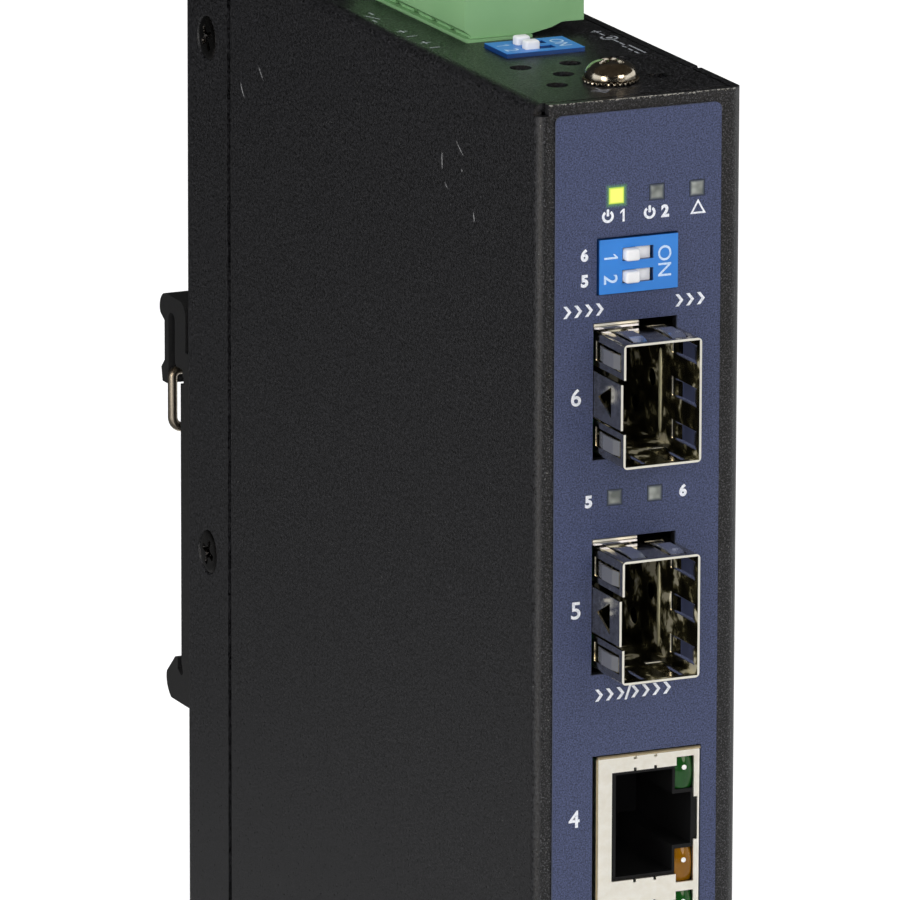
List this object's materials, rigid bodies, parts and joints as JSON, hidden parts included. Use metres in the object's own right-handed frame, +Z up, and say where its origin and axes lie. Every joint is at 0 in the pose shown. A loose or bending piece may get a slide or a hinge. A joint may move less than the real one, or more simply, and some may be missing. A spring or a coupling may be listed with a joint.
{
  "type": "din rail ethernet switch",
  "caption": "Slim black folded-steel network switch with SFP cages, a column of RJ45 ports, DIP switches, a pluggable terminal block and a rail clip.",
  "frame": {"origin": "centre of the housing's bottom face", "axes": "+Z up, -Y the front with the ports, +X to the right seen from the front"},
  "size_m": [0.025, 0.1165, 0.1559],
  "materials": {
    "powder_coat": "fine-textured matt powder coat",
    "overlay": "matt printed overlay",
    "zinc_steel": "zinc plated",
    "black_screw": "black zinc",
    "lit_lens": "lit",
    "smoke_lens": "clear, unlit",
    "clear_led": "clear",
    "blue_plastic": "satin",
    "white_plastic": "matt",
    "black_plastic": "matt",
    "tinned_metal": "tin plated",
    "bright_nickel": "bright nickel",
    "gold": "gold plated",
    "green_acrylic": "clear tinted",
    "amber_acrylic": "clear tinted",
    "green_board": "solder mask",
    "aluminium": "plain",
    "terminal_green": "satin",
    "black_anodised": "black anodised",
    "spring_steel": "bare wire"
  },
  "bodies": {
    "housing": {"front_shell": "powder_coat", "rear_cover": "powder_coat", "left_strap": "zinc_steel", "right_strap": "zinc_steel", "cover_screws": "black_screw", "front_label": "overlay", "power_lens": "lit_lens", "status_lenses": "smoke_lens", "upper_led_holder": "black_plastic", "lower_led_holder": "black_plastic", "indicator_leds": "clear_led", "front_dip_body": "blue_plastic", "top_dip_body": "blue_plastic", "dip_pins": "tinned_metal", "upper_sfp_cage": "bright_nickel", "lower_sfp_cage": "bright_nickel", "upper_sfp_connector": "black_plastic", "lower_sfp_connector": "black_plastic", "jack_shield": "tinned_metal", "jack_housing": "black_plastic", "jack_contacts": "gold", "green_light_pipes": "green_acrylic", "amber_light_pipes": "amber_acrylic", "main_board": "green_board", "board_standoffs": "zinc_steel", "board_screws": "zinc_steel", "switch_chip": "black_plastic", "heat_sink": "aluminium", "capacitors": "aluminium", "power_coil": "black_plastic", "fault_relay": "black_plastic", "terminal_header": "terminal_green", "header_pins": "tinned_metal", "terminal_plug": "terminal_green", "clamp_screws": "zinc_steel", "wire_clamps": "zinc_steel", "ground_screw": "bright_nickel", "ground_nut": "zinc_steel", "din_clip": "black_anodised", "clip_screws": "black_screw", "clip_nuts": "zinc_steel"},
    "front_dip_slider_1": {"front_dip_slider_1": "white_plastic"},
    "front_dip_slider_2": {"front_dip_slider_2": "white_plastic"},
    "top_dip_slider_1": {"top_dip_slider_1": "white_plastic"},
    "top_dip_slider_2": {"top_dip_slider_2": "white_plastic"},
    "rail_spring": {"rail_spring": "spring_steel"}
  },
  "joints": [
    {"name": "front_dip_switch_1_slide", "type": "slide", "parent": "housing", "child": "front_dip_slider_1", "axis": [1, 0, 0], "range_m": [0, 0.0017]},
    {"name": "front_dip_switch_2_slide", "type": "slide", "parent": "housing", "child": "front_dip_slider_2", "axis": [1, 0, 0], "range_m": [0, 0.0017]},
    {"name": "top_dip_switch_1_slide", "type": "slide", "parent": "housing", "child": "top_dip_slider_1", "axis": [1, 0, 0], "range_m": [0, 0.0017]},
    {"name": "top_dip_switch_2_slide", "type": "slide", "parent": "housing", "child": "top_dip_slider_2", "axis": [1, 0, 0], "range_m": [0, 0.0017]},
    {"name": "rail_spring_slide", "type": "slide", "parent": "housing", "child": "rail_spring", "axis": [0, 0, 1], "range_m": [0, 0.0055], "stiffness_N_per_m": 2500}
  ]
}
